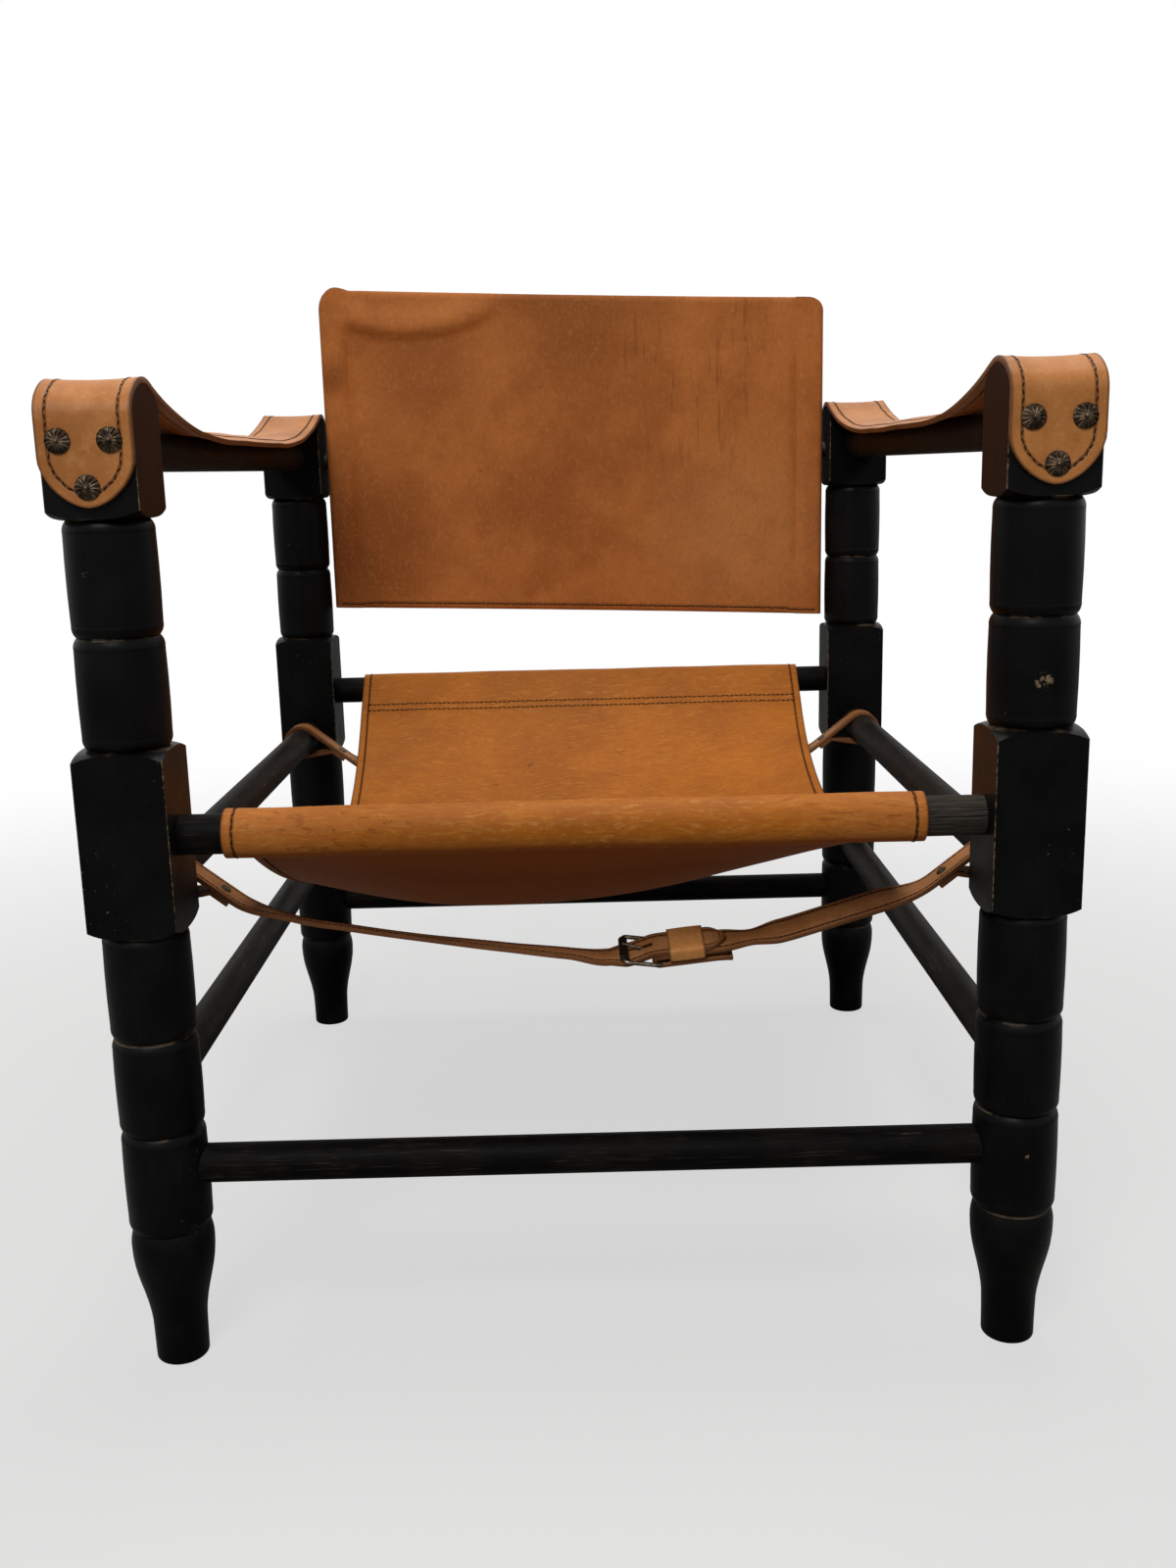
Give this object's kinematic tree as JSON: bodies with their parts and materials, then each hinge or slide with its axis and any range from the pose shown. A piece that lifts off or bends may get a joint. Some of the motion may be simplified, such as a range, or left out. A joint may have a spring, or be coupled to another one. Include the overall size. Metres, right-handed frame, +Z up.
{
  "type": "campaign armchair",
  "caption": "Knock-down sling armchair: turned posts, dowelled round rails, leather seat, arm straps, buckled underseat belts and a pivoting leather back.",
  "frame": {"origin": "on the floor, at the middle of the chair's width and depth", "axes": "+Z up, -Y towards the front where a sitter's knees are, +X to the right as the chair is seen from the front; left and right in node names are as seen from the front"},
  "size_m": [0.668, 0.7378, 0.8],
  "materials": {
    "turned_post_wood": "black brown paint over turned wood, satin, worn at edges",
    "rail_wood": "dark brown black paint over round bar, satin, scuffed",
    "upright_wood": "bare turned wood, dull",
    "seat_leather": "waxed saddle leather, satin, creased",
    "back_leather": "waxed saddle leather, mottled with age",
    "arm_leather": "waxed saddle leather, satin",
    "belt_leather": "oiled harness leather, reddish brown",
    "keeper_leather": "natural strap leather, tan",
    "stud_metal": "antique dark brass",
    "bolt_steel": "dulled steel",
    "rivet_metal": "dark greenish brass",
    "buckle_wire": "dull plated wire",
    "buckle_roller_steel": "dark tumbled steel tube"
  },
  "bodies": {
    "frame": {"front_left_post": "turned_post_wood", "front_right_post": "turned_post_wood", "rear_left_post": "turned_post_wood", "rear_right_post": "turned_post_wood", "front_seat_rail": "rail_wood", "rear_seat_rail": "rail_wood", "left_seat_rail": "rail_wood", "right_seat_rail": "rail_wood", "front_stretcher": "rail_wood", "rear_stretcher": "rail_wood", "left_stretcher": "rail_wood", "right_stretcher": "rail_wood", "left_arm_rail": "rail_wood", "right_arm_rail": "rail_wood", "left_arm_strap": "arm_leather", "right_arm_strap": "arm_leather", "front_left_arm_studs": "stud_metal", "front_right_arm_studs": "stud_metal", "rear_left_arm_studs": "stud_metal", "rear_right_arm_studs": "stud_metal", "seat_sling": "seat_leather", "back_pivot_bolts": "bolt_steel", "back_pivot_washers": "bolt_steel", "front_belt_tongue_strap": "belt_leather", "front_belt_buckle_strap": "belt_leather", "front_belt_rivets": "rivet_metal", "front_buckle_frame": "buckle_wire", "rear_belt_tongue_strap": "belt_leather", "rear_belt_buckle_strap": "belt_leather", "rear_belt_rivets": "rivet_metal", "rear_buckle_frame": "buckle_wire"},
    "backrest": {"back_cover": "back_leather", "left_back_upright": "upright_wood", "right_back_upright": "upright_wood"},
    "front_prong": {"front_buckle_prong": "buckle_wire"},
    "front_roller": {"front_buckle_roller": "buckle_roller_steel"},
    "front_keeper": {"front_belt_keeper": "keeper_leather"},
    "rear_prong": {"rear_buckle_prong": "buckle_wire"},
    "rear_roller": {"rear_buckle_roller": "buckle_roller_steel"},
    "rear_keeper": {"rear_belt_keeper": "keeper_leather"}
  },
  "joints": [
    {"name": "backrest_pivot", "type": "hinge", "parent": "frame", "child": "backrest", "pos_m": [0, 0.338, 0.636], "axis": [1, 0, 0], "continuous": true},
    {"name": "front_prong_hinge", "type": "hinge", "parent": "frame", "child": "front_prong", "pos_m": [0.05305, -0.27095, 0.27532], "axis": [-0.0323, 0.9511, 0.3073], "range_deg": [0, 15]},
    {"name": "front_roller_spin", "type": "hinge", "parent": "frame", "child": "front_roller", "pos_m": [0.02751, -0.27305, 0.27914], "axis": [-0.0323, 0.9511, 0.3073], "continuous": true},
    {"name": "front_keeper_slide", "type": "slide", "parent": "frame", "child": "front_keeper", "axis": [0.9945, 0, 0.1045], "range_m": [0, 0.01]},
    {"name": "rear_prong_hinge", "type": "hinge", "parent": "frame", "child": "rear_prong", "pos_m": [0.05305, 0.26305, 0.27532], "axis": [-0.0323, 0.9511, 0.3073], "range_deg": [0, 15]},
    {"name": "rear_roller_spin", "type": "hinge", "parent": "frame", "child": "rear_roller", "pos_m": [0.02751, 0.26095, 0.27914], "axis": [-0.0323, 0.9511, 0.3073], "continuous": true},
    {"name": "rear_keeper_slide", "type": "slide", "parent": "frame", "child": "rear_keeper", "axis": [0.9945, 0, 0.1045], "range_m": [0, 0.01]}
  ]
}
